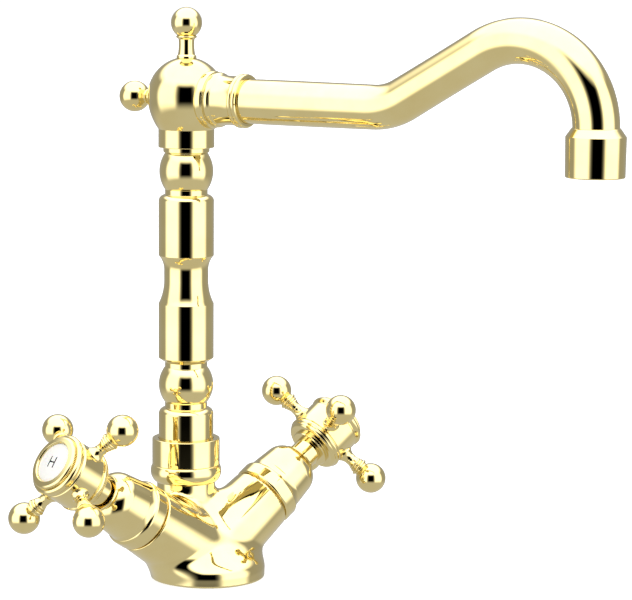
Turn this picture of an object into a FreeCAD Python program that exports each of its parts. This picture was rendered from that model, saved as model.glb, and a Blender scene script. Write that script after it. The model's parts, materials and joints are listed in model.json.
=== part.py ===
"""Two-handle bathroom mixer tap with a turned column, a ball head and a swan-neck spout.

Millimetres, +Z up.  The origin is the centre of the base's underside, -Y is the user's side,
-X holds the hot valve and +X the cold valve.  The column stands behind the base's centre.
"""
import FreeCAD, Part
import math
import os
import Sketcher

from FreeCAD import Placement, Rotation, Vector

SIZES = {
    # base casting
    "base_radius": 26.5, "base_rim": 6.0, "waist_radius": 24.6, "waist_rise": 12.0,
    "saddle_radius": 17.5, "saddle_rise": 25.0, "saddle_back": 8.0,
    "column_back": 16.5, "neck_radius": 14.1, "neck_foot": 34.0, "neck_top": 42.6,
    "spigot_radius": 13.6, "spigot_top": 57.0, "socket_radius": 8.56, "socket_floor": 30.0,
    "gasket_inner": 21.0, "gasket_outer": 24.5, "gasket_depth": 1.5,
    "inlet_spread": 12.0, "inlet_front": 4.0, "inlet_radius": 4.5, "inlet_depth": 9.0,
    "stud_back": 13.0, "stud_radius": 3.4, "stud_depth": 14.0, "waterway_radius": 2.6,
    # swivel between the base and the column
    "ring_edge": 16.6, "ring_foot": 14.6, "ring_top": 50.8,
    "nut_radius": 15.85, "nut_bore": 13.7, "nut_top": 63.2, "nut_lip": 60.4, "nut_hole": 12.93,
    "washer_top": 57.8, "foot_start": 57.9, "foot_end": 60.3, "foot_radius": 13.4,
    # turned column
    "column_radius": 12.85, "column_bore": 5.0, "shank_radius": 8.5, "shank_end": 32.0,
    "groove_radius": 6.9, "groove_width": 2.0, "lower_groove": 35.0, "upper_groove": 45.0,
    "neck_small": 9.9, "lower_drum_top": 75.0, "lower_neck": 77.6, "lower_bead": 80.2,
    "lower_bead_top": 96.9, "bead_curve": 13.6, "middle_drum": 101.2, "middle_drum_top": 126.7,
    "hourglass_radius": 10.3, "hourglass_foot": 128.0, "hourglass_low": 137.5,
    "hourglass_high": 142.3, "upper_drum": 149.3, "upper_drum_top": 175.0, "upper_neck": 177.6,
    "upper_bead": 180.0, "upper_bead_top": 196.9, "upper_bead_curve": 15.0,
    "column_top": 199.5, "head_spigot": 7.5, "head_spigot_top": 206.0,
    # ball head and its finials
    "head_collar": 12.95, "head_collar_top": 207.9, "ball_radius": 17.9, "ball_height": 223.2,
    "ball_lower_curve": 26.5, "cavity_radius": 13.5, "finial_seat": 240.5, "finial_stud": 2.0,
    "finial_foot": 4.6, "finial_ball": 7.2, "finial_centre": 256.7, "rear_finial_centre": 28.8,
    "rear_seat": 17.3,
    # spout
    "spout_turn": 17.8, "spout_height": 222.0, "socket_start": 11.9, "socket_ring": 13.3,
    "socket_step": 16.2, "socket_band": 12.0, "socket_band_end": 19.6, "socket_end": 29.4,
    "socket_waist_curve": 24.0, "flange_radius": 12.3, "flange_end": 33.6,
    "tube_radius": 10.1, "tube_wall": 1.2, "tube_start": 21.4, "seal_start": 19.5,
    "rise_angle": 30.2, "rise_curve": 30.0,
    "crown_curve": 36.0, "spout_reach": 206.5, "crown_height": 217.2, "tube_end": 207.5,
    # aerator
    "aerator_radius": 13.0, "aerator_lip": 12.75, "aerator_bottom": 196.6,
    "aerator_shoulder": 214.3, "aerator_top": 217.6, "insert_radius": 10.3,
    "insert_top": 206.0, "insert_bottom": 198.2,
    # valves: distances are measured outwards along each valve's axis
    "valve_back": 3.6, "valve_rise": 8.3, "valve_tilt": 33.1,
    "arm_root": 18.2, "arm_tip": 15.7, "arm_end": 42.0, "valve_bore": 9.5, "valve_floor": 23.3,
    "cartridge_foot": 24.8, "cartridge_radius": 9.4, "disc_seat": 26.0, "disc_radius": 7.2,
    "chamber_radius": 7.3, "chamber_end": 35.2, "hex_reach": 11.3, "hex_end": 46.5,
    "cartridge_neck": 6.9, "cartridge_end": 62.0, "spindle_radius": 4.0, "spindle_bore": 4.06,
    "fixed_disc_end": 28.6, "moving_disc_start": 28.65, "moving_disc_end": 31.2,
    "spindle_foot_end": 35.0, "spindle_end": 90.9,
    "bonnet_radius": 15.9, "bonnet_barrel": 13.4, "bonnet_end": 70.5, "bonnet_mouth": 7.3,
    # cross handles
    "stem_radius": 6.9, "stem_start": 63.0, "hub_start": 78.5, "hub_radius": 14.2,
    "hub_ring": 14.8, "hub_lip": 14.3, "hub_end": 101.2, "bezel_radius": 12.9,
    "bezel_end": 103.4, "index_radius": 9.9, "window_radius": 9.4, "cross_centre": 89.7,
    "spoke_seat": 13.3, "spoke_boss": 4.1, "spoke_tenon": 2.0, "spoke_ball": 7.2,
    "spoke_reach": 31.2, "hot_cross_turn": 53.8, "cold_cross_turn": 50.7,
}

doc = FreeCAD.newDocument("mixer_tap")
sheet = doc.addObject("Spreadsheet::Sheet", "dims")
for row, (alias, number) in enumerate(SIZES.items(), start=1):
    sheet.set(f"A{row}", alias)
    sheet.set(f"B{row}", str(number))
    sheet.setAlias(f"B{row}", alias)
doc.recompute()

made = []


def size(text):
    """Value of a sum such as "hub_end - 3", whose words are sheet aliases or numbers."""
    total, sign = 0.0, 1.0
    for word in str(text).split():
        if word in "+-":
            sign = 1.0 if word == "+" else -1.0
        else:
            total += sign * (SIZES[word] if word in SIZES else float(word))
            sign = 1.0
    return total


def formula(text):
    """The same sum as an expression on the sheet's cells."""
    return " ".join(f"dims.{word}" if word in SIZES else word for word in str(text).split())


def bind(thing, **places):
    """Bind properties of an object to sums of the sheet's cells."""
    for name, text in places.items():
        setattr(thing, name, size(text))
        thing.setExpression(name, formula(text))


def finished(thing, label):
    """Keep an object as a sub-part of its own, under the label that names its file."""
    thing.Label = label
    made.append(thing)
    return thing


def plane_of(body, role):
    return next(item for item in body.Origin.OriginFeatures if item.Role == role)


def arc_centre(start, end, radius):
    """Centre of the arc from start to end: a positive radius bulges away from the axis when
    the outline climbs, a negative one is hollow."""
    chord = end - start
    middle = start + chord * 0.5
    rise = math.sqrt(max(radius * radius - chord.Length ** 2 / 4, 0.0))
    left = Vector(-chord.y, chord.x, 0).normalize()
    return middle + left * (rise if radius > 0 else -rise)


def draw_outline(sketch, outline):
    """Draw a closed outline.  Each entry is (across, up) for a straight edge from the entry
    before it, or (across, up, radius) for an arc; every size is bound to the sheet."""
    points = [Vector(size(entry[0]), size(entry[1]), 0) for entry in outline]
    corners = []
    for index, entry in enumerate(outline):
        start, end = points[index - 1], points[index]
        if len(entry) == 3:
            radius = size(entry[2])
            centre = arc_centre(start, end, radius)
            circle = Part.Circle(centre, Vector(0, 0, 1), abs(radius))
            first, last = (start, end) if radius > 0 else (end, start)
            edge = Part.ArcOfCircle(circle, circle.parameter(first), circle.parameter(last))
            number = sketch.addGeometry(edge, False)
            corners.append((number, 1, 2) if radius > 0 else (number, 2, 1))
            rule = sketch.addConstraint(Sketcher.Constraint("Radius", number, abs(radius)))
            sketch.setExpression(f"Constraints[{rule}]", formula(entry[2].lstrip("- ")))
        else:
            number = sketch.addGeometry(Part.LineSegment(start, end), False)
            corners.append((number, 1, 2))
    for index, entry in enumerate(outline):
        number, _, tail = corners[index]
        follower, head, _ = corners[(index + 1) % len(outline)]
        sketch.addConstraint(Sketcher.Constraint("Coincident", number, tail, follower, head))
        for kind, axis, text in (("DistanceX", -2, entry[0]), ("DistanceY", -1, entry[1])):
            if size(text) == 0:
                sketch.addConstraint(Sketcher.Constraint("PointOnObject", number, tail, axis))
            else:
                rule = sketch.addConstraint(
                    Sketcher.Constraint(kind, -1, 1, number, tail, size(text)))
                sketch.setExpression(f"Constraints[{rule}]", formula(text))


def turned(label, outline, where=Placement()):
    """A body turned about its own Z axis from a closed outline of (radius, height) corners."""
    body = doc.addObject("PartDesign::Body", label)
    sketch = body.newObject("Sketcher::SketchObject", f"{label}_outline")
    sketch.AttachmentSupport = [(plane_of(body, "XZ_Plane"), "")]
    sketch.MapMode = "FlatFace"
    draw_outline(sketch, outline)
    revolution = body.newObject("PartDesign::Revolution", f"{label}_turning")
    revolution.Profile = sketch
    revolution.ReferenceAxis = (sketch, ["V_Axis"])
    revolution.Angle = 360
    sketch.Visibility = False
    body.Placement = where
    return body


def drum(name, radius, length, where=Placement(), start="0"):
    """A plain cylinder along the local Z axis of a placement, starting at a height on it."""
    cylinder = doc.addObject("Part::Cylinder", name)
    bind(cylinder, Radius=radius, Height=length)
    cylinder.Placement = where.multiply(Placement(Vector(0, 0, size(start)), Rotation()))
    return cylinder


def cut(name, base, tools):
    joined = doc.addObject("Part::MultiFuse", f"{name}_tools")
    joined.Shapes = tools
    result = doc.addObject("Part::Cut", name)
    result.Base = base
    result.Tool = joined if len(tools) > 1 else tools[0]
    if len(tools) == 1:
        doc.removeObject(joined.Name)
    return result


def fuse(name, shapes):
    result = doc.addObject("Part::MultiFuse", name)
    result.Shapes = shapes
    return result


def tipped(label, stem, centre, where, radius):
    """A turned stem with a ball on its end, centred at a height on the placement's Z axis."""
    ball = doc.addObject("Part::Sphere", f"{label}_ball")
    bind(ball, Radius=radius)
    ball.Placement = where.multiply(Placement(Vector(0, 0, size(centre)), Rotation()))
    return fuse(label, [turned(f"{label}_stem", stem, where), ball])


def aimed(start, end):
    """A placement at start whose Z axis points at end."""
    return Placement(start, Rotation(Vector(0, 0, 1), end - start))


COLUMN = Placement(Vector(0, size("column_back"), 0), Rotation())
SWIVEL = Rotation(Vector(0, 0, 1), size("spout_turn"))
HEAD_CENTRE = Vector(0, size("column_back"), size("spout_height"))
SPOUT_AXIS = Placement(HEAD_CENTRE, SWIVEL.multiply(Rotation(Vector(1, 0, 0), 90)))
REAR_AXIS = Placement(HEAD_CENTRE, SWIVEL.multiply(Rotation(Vector(1, 0, 0), -90)))
SPOUT_PLANE = Placement(COLUMN.Base, SWIVEL.multiply(Rotation(Vector(0, 0, 1), -90)))
OUTLET = Placement(SPOUT_PLANE.multVec(Vector(size("spout_reach"), 0, 0)), Rotation())
VALVE_CENTRE = Vector(0, size("valve_back"), size("valve_rise"))
SIDES = {"hot": -1, "cold": 1}


def valve_axis(side):
    lean = SIDES[side] * (90 - size("valve_tilt"))
    return Placement(VALVE_CENTRE, Rotation(Vector(0, 1, 0), lean))


# ---- base casting -----------------------------------------------------------------------

def saddle_ring(name, radius, height, back):
    ring = doc.addObject("Part::Circle", name)
    bind(ring, Radius=radius)
    ring.Placement = Placement(Vector(0, size(back), size(height)), Rotation())
    return ring


def base_casting():
    foot = drum("base_foot", "base_radius", "base_rim")
    saddle = doc.addObject("Part::Loft", "saddle")
    saddle.Sections = [
        saddle_ring("saddle_foot", "base_radius", "base_rim", "0"),
        saddle_ring("saddle_waist", "waist_radius", "waist_rise", "1.5"),
        saddle_ring("saddle_middle", "saddle_radius", "saddle_rise", "saddle_back"),
        saddle_ring("saddle_neck", "neck_radius", "neck_foot", "column_back - 0.6"),
        saddle_ring("saddle_top", "neck_radius", "neck_top", "column_back"),
    ]
    saddle.Solid = True
    spigot = drum("spigot", "spigot_radius", "spigot_top - neck_top", COLUMN, "neck_top")
    solids = [foot, saddle, spigot]
    socket = drum("swivel_socket", "socket_radius", "spigot_top - socket_floor", COLUMN,
                  "socket_floor")
    below_deck = doc.addObject("Part::Box", "below_deck")
    below_deck.Length, below_deck.Width, below_deck.Height = 120, 120, 30
    below_deck.Placement = Placement(Vector(-60, -60, -30), Rotation())
    groove = turned("gasket_groove", ring_outline("gasket_inner", "gasket_outer", "0",
                                                  "gasket_depth"))
    stud = drum("stud_hole", "stud_radius", "stud_depth",
                Placement(Vector(0, size("stud_back"), 0), Rotation()))
    tools = [socket, below_deck, groove, stud]
    for side, sign in SIDES.items():
        axis = valve_axis(side)
        arm = doc.addObject("Part::Cone", f"{side}_arm")
        bind(arm, Radius1="arm_root", Radius2="arm_tip", Height="arm_end")
        arm.Placement = axis
        solids.append(arm)
        inlet = Vector(sign * size("inlet_spread"), -size("inlet_front"), 0)
        seat = axis.multVec(Vector(0, 0, size("valve_floor")))
        chamber = axis.multVec(Vector(0, 0, size("valve_floor + 6")))
        outlet = COLUMN.multVec(Vector(0, 0, size("socket_floor + 1.5")))
        feed = inlet + Vector(0, 0, size("inlet_depth - 1"))
        tools += [
            drum(f"{side}_valve_bore", "valve_bore", "arm_end - valve_floor + 1", axis,
                 "valve_floor"),
            drum(f"{side}_inlet", "inlet_radius", "inlet_depth",
                 Placement(inlet, Rotation())),
            drum(f"{side}_feed", "waterway_radius", str(seat.distanceToPoint(feed)),
                 aimed(feed, seat)),
            drum(f"{side}_mixed_way", "waterway_radius",
                 str(chamber.distanceToPoint(outlet)), aimed(outlet, chamber)),
        ]
    return cut("mixer_body", fuse("casting", solids), tools)


def ring_outline(inner, outer, bottom, top):
    return [(inner, bottom), (outer, bottom), (outer, top), (inner, top)]


def swivel():
    ring = turned("swivel_ring", [
        ("spigot_radius + 0.05", "neck_top"), ("ring_foot", "neck_top"),
        ("ring_edge", "neck_top + 2.6", "4"), ("ring_edge", "ring_top - 0.6", "12"),
        ("ring_edge - 0.6", "ring_top"), ("spigot_radius + 0.05", "ring_top")], COLUMN)
    nut = turned("column_collar_nut", [
        ("nut_bore", "ring_top"), ("nut_radius", "ring_top"), ("nut_radius", "nut_top - 0.4"),
        ("nut_radius - 0.4", "nut_top"), ("nut_hole", "nut_top"), ("nut_hole", "nut_lip"),
        ("nut_bore", "nut_lip")], COLUMN)
    washer = turned("swivel_washer", ring_outline("shank_radius + 0.5", "foot_radius",
                                                  "spigot_top", "washer_top"), COLUMN)
    gasket = turned("base_gasket", ring_outline("gasket_inner + 0.1", "gasket_outer - 0.1",
                                                "0", "gasket_depth - 0.1"))
    finished(ring, "swivel_ring")
    finished(nut, "column_collar_nut")
    finished(washer, "swivel_washer")
    finished(gasket, "base_gasket")


def seal_ring(label, centre_radius, section, height, where):
    torus = doc.addObject("Part::Torus", label)
    bind(torus, Radius1=centre_radius, Radius2=section)
    torus.Placement = where.multiply(Placement(Vector(0, 0, size(height)), Rotation()))
    return finished(torus, label)


# ---- column, ball head and finials ------------------------------------------------------

def seal_groove(radius, start):
    end = f"{start} + groove_width"
    return [(radius, start), ("groove_radius", start), ("groove_radius", end), (radius, end)]


def riser_column():
    outline = [("column_bore", "shank_end"), ("shank_radius", "shank_end")]
    outline += seal_groove("shank_radius", "lower_groove")
    outline += seal_groove("shank_radius", "upper_groove")
    outline += [
        ("shank_radius", "foot_start"), ("foot_radius", "foot_start"),
        ("foot_radius", "foot_end"), ("column_radius", "foot_end"),
        ("column_radius", "lower_drum_top"), ("neck_small", "lower_neck", "3.2"),
        ("neck_small", "lower_bead"), ("neck_small", "lower_bead_top", "bead_curve"),
        ("neck_small", "middle_drum - 2"), ("column_radius", "middle_drum"),
        ("column_radius", "middle_drum_top"), ("column_radius - 0.6", "hourglass_foot"),
        ("hourglass_radius", "hourglass_low", "- 24"), ("hourglass_radius", "hourglass_high"),
        ("column_radius", "upper_drum", "- 10"), ("column_radius", "upper_drum_top"),
        ("neck_small", "upper_neck", "3.2"), ("neck_small", "upper_bead"),
        ("neck_small", "upper_bead_top", "upper_bead_curve"),
        ("neck_small + 0.8", "upper_bead_top + 0.6"), ("neck_small + 0.8", "column_top"),
        ("head_spigot", "column_top"), ("head_spigot", "head_spigot_top"),
        ("column_bore", "head_spigot_top")]
    return turned("riser_column", outline, COLUMN)


def ball_head():
    shell = turned("ball_shell", [
        ("head_spigot + 0.02", "column_top"), ("head_collar", "column_top"),
        ("head_collar", "head_collar_top"),
        ("ball_radius", "ball_height", "ball_lower_curve"),
        ("finial_foot", "finial_seat", "ball_radius"), ("finial_stud", "finial_seat"),
        ("finial_stud", "finial_seat - 3.7"), ("6", "head_spigot_top + 4.9",
                                               "- cavity_radius"),
        ("6", "head_spigot_top + 0.1"), ("head_spigot + 0.02", "head_spigot_top + 0.1")],
        COLUMN)
    return cut("ball_head", shell, [
        drum("spout_port", "8.52", "20", SPOUT_AXIS),
        drum("spout_face", "socket_ring + 0.1", "20", SPOUT_AXIS, "socket_start"),
        drum("rear_port", "finial_stud", "20", REAR_AXIS),
        drum("rear_face", "3.7", "10", REAR_AXIS, "rear_seat")])


def finials():
    top = tipped("top_finial", [
        ("0", "finial_seat - 3.5"), ("finial_stud", "finial_seat - 3.5"),
        ("finial_stud", "finial_seat"), ("finial_foot", "finial_seat"),
        ("finial_foot", "finial_seat + 1"), ("3.9", "finial_seat + 1.7"),
        ("3.6", "finial_seat + 9.2", "- 26"), ("4.5", "finial_seat + 9.9"),
        ("4.5", "finial_seat + 10.8", "0.6"), ("3.4", "finial_seat + 11.1"),
        ("3.4", "finial_seat + 12.1", "0.7"), ("3.2", "finial_seat + 12.1"),
        ("3.2", "finial_centre"), ("0", "finial_centre")],
        "finial_centre", COLUMN, "finial_ball")
    rear = tipped("rear_finial", [
        ("0", "rear_seat - 3.2"), ("finial_stud", "rear_seat - 3.2"),
        ("finial_stud", "rear_seat"), ("3.6", "rear_seat"), ("3.6", "rear_seat + 1"),
        ("2.7", "rear_seat + 1.8"), ("2.7", "rear_seat + 3.2"), ("3.3", "rear_seat + 3.4"),
        ("3.3", "rear_seat + 4.4", "0.6"), ("2.9", "rear_seat + 4.6"),
        ("2.9", "rear_finial_centre"), ("0", "rear_finial_centre")],
        "rear_finial_centre", REAR_AXIS, "finial_ball")
    finished(top, "top_finial")
    finished(rear, "rear_finial")


# ---- spout ------------------------------------------------------------------------------

def spout_union():
    return turned("spout_union", [
        ("6.5", "6"), ("8.5", "6"), ("8.5", "socket_start"),
        ("socket_ring - 0.5", "socket_start"), ("socket_ring - 0.5", "socket_step", "4.4"),
        ("socket_band", "socket_step + 0.3"),
        ("socket_band", "socket_band_end", "2.2"), ("socket_band - 0.3", "socket_band_end + 0.3"),
        ("socket_band - 0.3", "socket_end", "- socket_waist_curve"),
        ("tube_radius + 0.05", "socket_end"), ("tube_radius + 0.05", "seal_start"),
        ("6.5", "seal_start")], SPOUT_AXIS)


def flange_ring():
    return turned("spout_flange_ring", [
        ("tube_radius + 0.05", "socket_end"), ("flange_radius - 0.3", "socket_end"),
        ("flange_radius - 0.3", "socket_end + 1.9", "1.4"),
        ("flange_radius - 0.3", "flange_end - 0.3", "1.6"),
        ("flange_radius - 0.9", "flange_end"), ("tube_radius + 0.05", "flange_end")],
        SPOUT_AXIS)


def spout_path(sketch):
    """Centre line in the spout's plane: level run, rise, crown and a short drop."""
    lean = math.radians(size("rise_angle"))
    level = size("spout_height")
    crown = Vector(size("spout_reach - crown_curve"), size("crown_height"), 0)
    shoulder = crown + Vector(-math.sin(lean), math.cos(lean), 0) * size("crown_curve")
    tangent = size("rise_curve") * math.tan(lean / 2)
    corner = Vector(shoulder.x - (shoulder.y - level) / math.tan(lean), level, 0)
    along = Vector(math.cos(lean), math.sin(lean), 0)
    start = Vector(size("tube_start"), level, 0)
    bend_start = corner - Vector(tangent, 0, 0)
    bend_end = corner + along * tangent
    bend = Part.Circle(bend_start + Vector(0, size("rise_curve"), 0), Vector(0, 0, 1),
                       size("rise_curve"))
    swan = Part.Circle(crown, Vector(0, 0, 1), size("crown_curve"))
    drop = crown + Vector(size("crown_curve"), 0, 0)
    foot = Vector(drop.x, size("tube_end"), 0)
    sketch.addGeometry(Part.LineSegment(start, bend_start), False)
    sketch.addGeometry(Part.ArcOfCircle(bend, bend.parameter(bend_start),
                                        bend.parameter(bend_end)), False)
    sketch.addGeometry(Part.LineSegment(bend_end, shoulder), False)
    sketch.addGeometry(Part.ArcOfCircle(swan, swan.parameter(drop),
                                        swan.parameter(shoulder)), False)
    sketch.addGeometry(Part.LineSegment(drop, foot), False)
    for first, head, second, tail in ((0, 2, 1, 1), (1, 2, 2, 1), (2, 2, 3, 2), (3, 1, 4, 1)):
        sketch.addConstraint(Sketcher.Constraint("Tangent", first, head, second, tail))
    sketch.addConstraint(Sketcher.Constraint("Horizontal", 0))
    sketch.addConstraint(Sketcher.Constraint("Vertical", 4))
    rules = (("DistanceX", (0, 1), "tube_start"), ("DistanceY", (0, 1), "spout_height"),
             ("DistanceX", (4, 2), "spout_reach"), ("DistanceY", (4, 2), "tube_end"),
             ("DistanceY", (4, 1), "crown_height"))
    for kind, (edge, end), text in rules:
        rule = sketch.addConstraint(Sketcher.Constraint(kind, -1, 1, edge, end, size(text)))
        sketch.setExpression(f"Constraints[{rule}]", formula(text))
    for edge, text in ((1, "rise_curve"), (3, "crown_curve")):
        rule = sketch.addConstraint(Sketcher.Constraint("Radius", edge, size(text)))
        sketch.setExpression(f"Constraints[{rule}]", formula(text))
    rule = sketch.addConstraint(Sketcher.Constraint("Angle", -1, 1, 2, 1, lean))
    sketch.setExpression(f"Constraints[{rule}]", "dims.rise_angle * 1 deg")


def spout_tube():
    body = doc.addObject("PartDesign::Body", "spout_tube")
    path = body.newObject("Sketcher::SketchObject", "spout_path")
    path.AttachmentSupport = [(plane_of(body, "XZ_Plane"), "")]
    path.MapMode = "FlatFace"
    spout_path(path)
    section = body.newObject("Sketcher::SketchObject", "spout_section")
    section.AttachmentSupport = [(plane_of(body, "YZ_Plane"), "")]
    section.MapMode = "FlatFace"
    section.AttachmentOffset = Placement(Vector(0, 0, size("tube_start")), Rotation())
    section.setExpression("AttachmentOffset.Base.z", formula("tube_start"))
    for text in ("tube_radius", "tube_radius - tube_wall"):
        circle = Part.Circle(Vector(0, size("spout_height"), 0), Vector(0, 0, 1), size(text))
        number = section.addGeometry(circle, False)
        section.addConstraint(Sketcher.Constraint("PointOnObject", number, 3, -2))
        for kind, value in (("DistanceY", "spout_height"), ("Radius", text)):
            place = (-1, 1, number, 3) if kind == "DistanceY" else (number,)
            rule = section.addConstraint(Sketcher.Constraint(kind, *place, size(value)))
            section.setExpression(f"Constraints[{rule}]", formula(value))
    pipe = body.newObject("PartDesign::AdditivePipe", "spout_sweep")
    pipe.Profile = section
    pipe.Spine = path
    pipe.Transition = "Transformed"
    body.Placement = SPOUT_PLANE
    return body


def aerator():
    housing = turned("aerator_housing", [
        ("aerator_lip - 1.3", "aerator_bottom"), ("aerator_lip - 0.3", "aerator_bottom"),
        ("aerator_lip", "aerator_bottom + 0.3"), ("aerator_radius", "aerator_shoulder - 0.3"),
        ("aerator_radius - 0.3", "aerator_shoulder"),
        ("tube_radius + 0.5", "aerator_top - 0.3"), ("tube_radius + 0.05", "aerator_top"),
        ("tube_radius + 0.05", "tube_end"), ("insert_radius + 0.05", "tube_end"),
        ("insert_radius + 0.05", "aerator_bottom + 0.8")], OUTLET)
    insert_body = turned("insert_blank", [
        ("0", "insert_bottom"), ("insert_radius", "insert_bottom"),
        ("insert_radius", "insert_top"), ("0", "insert_top")], OUTLET)
    holes = []
    for ring, (count, reach) in enumerate(((1, 0.0), (6, 3.2), (12, 6.2))):
        for step in range(count):
            turn = math.tau * (step + ring / 2) / count
            centre = OUTLET.multVec(Vector(reach * math.cos(turn), reach * math.sin(turn), 0))
            holes.append(drum(f"jet_{ring}_{step}", "1.1", "12",
                              Placement(centre, Rotation()), "insert_bottom - 2"))
    washer = turned("aerator_washer", ring_outline("tube_radius - 1.6", "insert_radius - 0.1",
                                                   "insert_top", "tube_end"), OUTLET)
    finished(housing, "aerator_housing")
    finished(cut("aerator_insert", insert_body, holes), "aerator_insert")
    finished(washer, "aerator_washer")


# ---- valves and cross handles -----------------------------------------------------------

def valve(side):
    axis = valve_axis(side)
    core = turned(f"{side}_cartridge_core", [
        ("5", "cartridge_foot"), ("cartridge_radius", "cartridge_foot"),
        ("cartridge_radius", "arm_end"), ("cartridge_neck", "hex_end - 1"),
        ("cartridge_neck", "cartridge_end"), ("spindle_bore", "cartridge_end"),
        ("spindle_bore", "chamber_end"), ("chamber_radius", "chamber_end"),
        ("chamber_radius", "disc_seat"), ("5", "disc_seat")], axis)
    hexagon = doc.addObject("Part::Prism", f"{side}_cartridge_hexagon")
    hexagon.Polygon = 6
    bind(hexagon, Circumradius="hex_reach", Height="hex_end - arm_end")
    hexagon.Placement = axis.multiply(Placement(Vector(0, 0, size("arm_end")), Rotation()))
    cartridge = cut(f"{side}_cartridge", fuse(f"{side}_cartridge_blank", [core, hexagon]), [
        drum(f"{side}_hexagon_bore", "spindle_bore", "hex_end - arm_end + 2", axis,
             "arm_end - 1"),
        drum(f"{side}_window", "1.8", "24",
             axis.multiply(Placement(Vector(-12, 0, size("spindle_foot_end - 2")),
                                     Rotation(Vector(0, 1, 0), 90))))])
    seal = turned(f"{side}_seat_seal", ring_outline("5", "8.6", "valve_floor",
                                                    "cartridge_foot"), axis)
    fixed = turned(f"{side}_fixed_disc", ring_outline("2.4", "disc_radius", "disc_seat",
                                                      "fixed_disc_end"), axis)
    moving = turned(f"{side}_moving_disc", ring_outline("2.4", "disc_radius - 0.02",
                                                        "moving_disc_start",
                                                        "moving_disc_end"), axis)
    spindle = turned(f"{side}_spindle", [
        ("0", "moving_disc_end"), ("disc_radius - 0.05", "moving_disc_end"),
        ("disc_radius - 0.05", "spindle_foot_end"), ("spindle_radius", "spindle_foot_end"),
        ("spindle_radius", "55"), ("3", "55"), ("3", "56.4"), ("spindle_radius", "56.4"),
        ("spindle_radius", "spindle_end"), ("spoke_tenon", "spindle_end"),
        ("spoke_tenon", "spindle_end - 7"), ("0", "spindle_end - 7")], axis)
    bonnet = turned(f"{side}_bonnet", [
        ("hex_reach + 0.5", "arm_end"), ("bonnet_radius - 0.8", "arm_end"),
        ("bonnet_radius", "arm_end + 1", "1.1"), ("bonnet_radius", "arm_end + 7"),
        ("bonnet_barrel + 1.5", "arm_end + 8.6", "2.4"),
        ("bonnet_barrel + 1", "arm_end + 11.5", "- 9"), ("bonnet_barrel", "bonnet_end - 8"),
        ("bonnet_mouth + 0.9", "bonnet_end - 0.3", "8.4"),
        ("bonnet_mouth + 0.5", "bonnet_end"), ("bonnet_mouth", "bonnet_end"),
        ("bonnet_mouth", "bonnet_end - 3.5"), ("hex_reach + 0.5", "bonnet_end - 8")], axis)
    finished(cartridge, f"{side}_cartridge")
    finished(seal, f"{side}_seat_seal")
    finished(fixed, f"{side}_fixed_disc")
    finished(moving, f"{side}_moving_disc")
    finished(spindle, f"{side}_spindle")
    finished(bonnet, f"{side}_bonnet")
    seal_ring(f"{side}_spindle_seal", "3.5", "0.48", "55.7", axis)


def spoke_axis(side, number):
    turn = size(f"{side}_cross_turn") + 90 * number
    outward = Rotation(Vector(0, 0, 1), turn).multiply(Rotation(Vector(0, 1, 0), 90))
    centre = Placement(Vector(0, 0, size("cross_centre")), outward)
    return valve_axis(side).multiply(centre)


def spoke(side, number):
    return tipped(f"{side}_spoke_{number + 1}", [
        ("0", "6.5"), ("spoke_tenon", "6.5"), ("spoke_tenon", "spoke_seat"),
        ("spoke_boss", "spoke_seat"), ("spoke_boss", "14.4"), ("2.8", "18", "- 4.6"),
        ("2.7", "18.6"), ("3.2", "20.6", "- 7"), ("3.2", "21.4", "0.6"), ("3.5", "21.6"),
        ("3.5", "22.7", "0.65"), ("4", "22.9"), ("4", "24.1", "0.7"), ("3.6", "24.3"),
        ("3.6", "spoke_reach"), ("0", "spoke_reach")],
        "spoke_reach", spoke_axis(side, number), "spoke_ball")


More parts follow.
